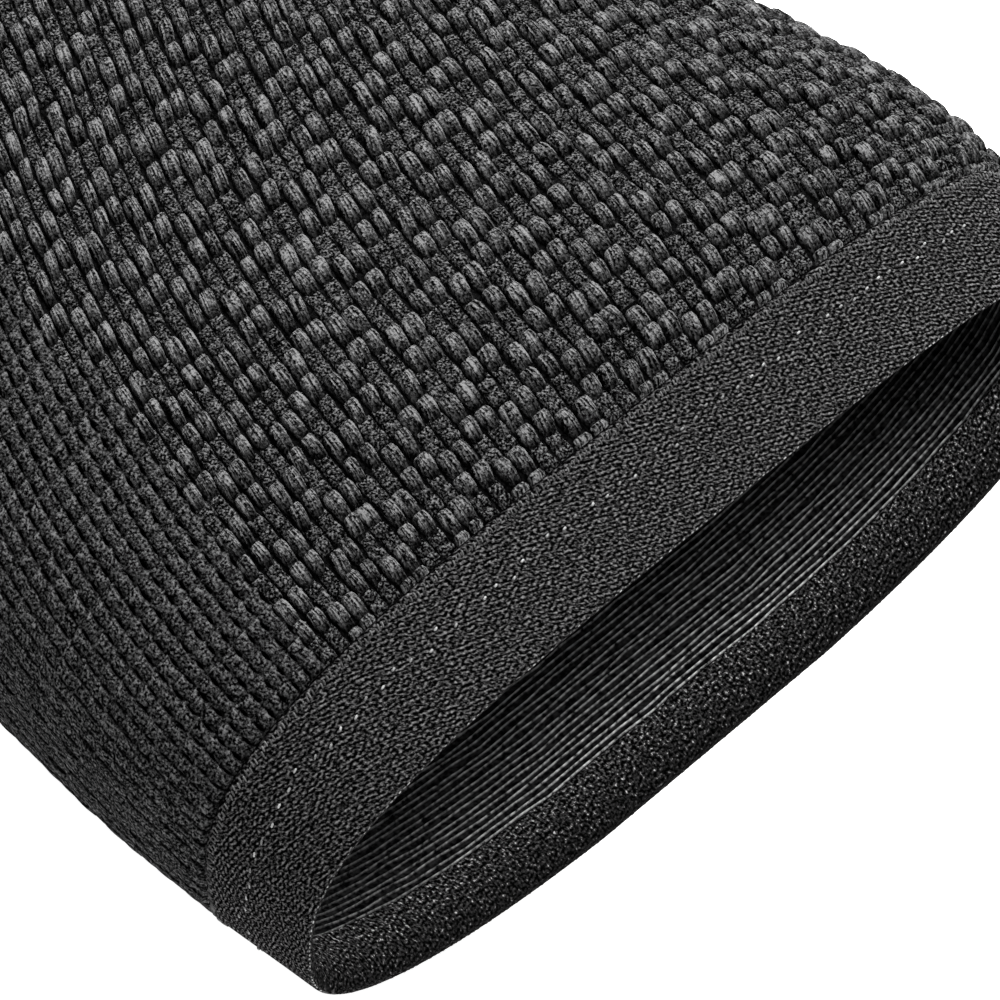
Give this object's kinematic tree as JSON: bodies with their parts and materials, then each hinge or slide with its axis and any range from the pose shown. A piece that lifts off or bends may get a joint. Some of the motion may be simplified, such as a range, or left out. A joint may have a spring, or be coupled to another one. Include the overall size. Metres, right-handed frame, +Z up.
{
  "type": "ankle support",
  "caption": "Knitted compression sleeve for the ankle, a soft tube turning from leg to foot through a shaped heel, with a folded tape binding round each open end.",
  "frame": {"origin": "on the surface that the sleeve lies on, under the middle of its box", "axes": "+Z up from the surface, +X out of the leg opening, +Y out of the foot opening, with the heel at -X and -Y"},
  "size_m": [0.2392, 0.1874, 0.0457],
  "materials": {
    "knit": "matte elastic knit with raised stitches",
    "binding": "fine matte knitted tape"
  },
  "bodies": {
    "root": {"knit_sleeve": "knit", "leg_binding": "binding", "foot_binding": "binding"}
  },
  "joints": []
}
